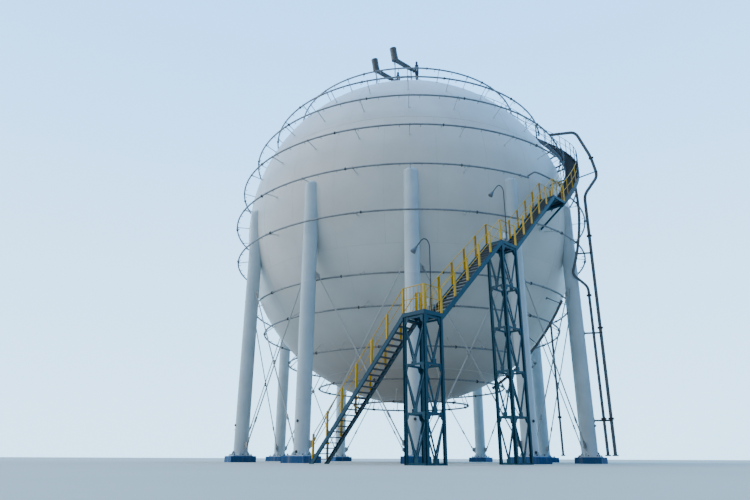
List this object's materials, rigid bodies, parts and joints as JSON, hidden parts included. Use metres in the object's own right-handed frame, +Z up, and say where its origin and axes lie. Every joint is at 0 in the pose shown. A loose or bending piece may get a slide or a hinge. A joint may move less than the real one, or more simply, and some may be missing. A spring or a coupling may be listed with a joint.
{
  "type": "spherical gas tank",
  "caption": "Spherical pressure tank on round legs with crossed tie rods, water spray rings, a stair with landings, a winding crown stair and a crown platform.",
  "frame": {"origin": "on the ground, under the middle of the box around the whole object; the tank's upright axis stands at x 0, y 3.334 m", "axes": "+Z up; -Y towards the side with the lowest stair landing; +X towards the side the stair climbs to"},
  "size_m": [25.8096, 32.478, 31.45],
  "materials": {
    "shell_paint": "satin white, slightly stained",
    "leg_paint": "satin white, slightly stained",
    "stair_paint": "satin teal blue, weathered",
    "rail_paint": "satin yellow, weathered",
    "galvanised_pipe": "dull galvanised",
    "galvanised_rod": "dull galvanised",
    "dark_grating": "dull dark grey"
  },
  "bodies": {
    "root": {"shell_bottom_cap": "shell_paint", "shell_lower_course": "shell_paint", "shell_middle_course": "shell_paint", "shell_upper_course": "shell_paint", "shell_top_cap": "shell_paint", "leg_01": "leg_paint", "leg_02": "leg_paint", "leg_03": "leg_paint", "leg_04": "leg_paint", "leg_05": "leg_paint", "leg_06": "leg_paint", "leg_07": "leg_paint", "leg_08": "leg_paint", "leg_09": "leg_paint", "leg_10": "leg_paint", "leg_11": "leg_paint", "leg_12": "leg_paint", "brace_rods_1": "galvanised_rod", "brace_rods_2": "galvanised_rod", "brace_rods_3": "galvanised_rod", "brace_rods_4": "galvanised_rod", "flight_1": "stair_paint", "flight_2": "stair_paint", "flight_3": "stair_paint", "landing_1": "stair_paint", "landing_2": "stair_paint", "landing_3": "stair_paint", "stair_tower_1": "stair_paint", "stair_tower_2": "stair_paint", "handrail_outer": "rail_paint", "handrail_inner": "rail_paint", "crown_stair": "dark_grating", "crown_rail_outer": "rail_paint", "crown_rail_inner": "rail_paint", "spray_ring_01": "galvanised_pipe", "spray_ring_02": "galvanised_pipe", "spray_ring_03": "galvanised_pipe", "spray_ring_04": "galvanised_pipe", "spray_ring_05": "galvanised_pipe", "spray_ring_06": "galvanised_pipe", "spray_ring_07": "galvanised_pipe", "spray_ring_08": "galvanised_pipe", "spray_ring_09": "galvanised_pipe", "spray_ring_10": "galvanised_pipe", "spray_ring_11": "galvanised_pipe", "spray_risers": "galvanised_pipe", "lower_spray_header": "galvanised_pipe", "crown_platform": "stair_paint", "relief_vent_1": "galvanised_pipe", "relief_vent_2": "galvanised_pipe", "crown_manway": "shell_paint", "bottom_outlet": "shell_paint"}
  },
  "joints": []
}
